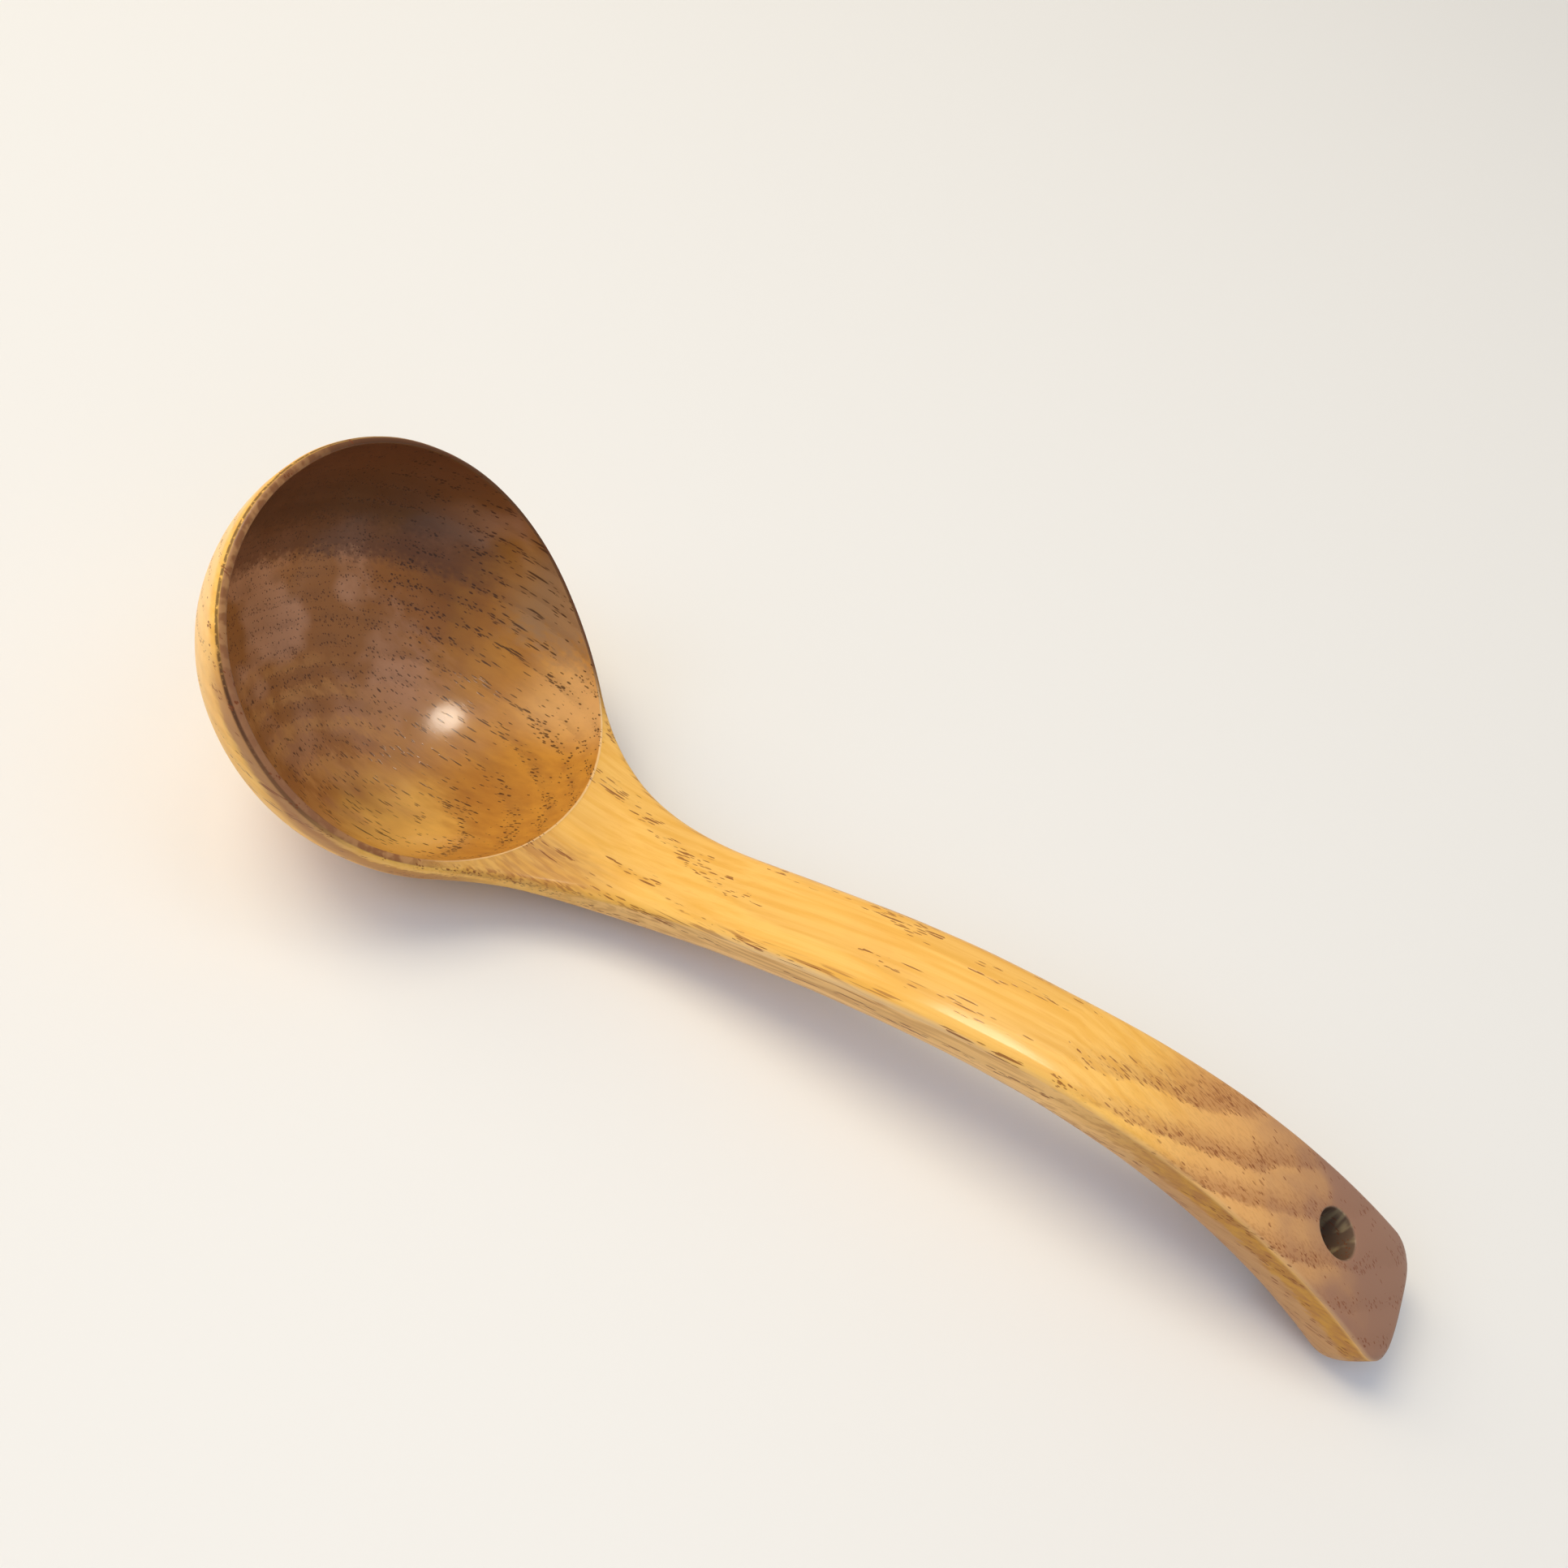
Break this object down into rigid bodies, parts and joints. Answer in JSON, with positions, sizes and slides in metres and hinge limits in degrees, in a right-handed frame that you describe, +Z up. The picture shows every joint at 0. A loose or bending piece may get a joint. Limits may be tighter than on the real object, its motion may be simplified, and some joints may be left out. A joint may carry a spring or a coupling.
{
  "type": "wooden ladle",
  "caption": "One-piece carved wooden ladle with a deep egg-shaped bowl, an arched flat-topped handle and a hanging hole near its squared tip.",
  "frame": {"origin": "centre of the bounding box on the surface that the ladle stands on", "axes": "+X from the bowl to the tip of the handle, +Z up, the ladle symmetric about the XZ plane"},
  "size_m": [0.2234, 0.0752, 0.0545],
  "materials": {
    "lacquered_wood": "clear gloss lacquer over ring-porous wood"
  },
  "bodies": {
    "root": {"ladle": "lacquered_wood"}
  },
  "joints": []
}
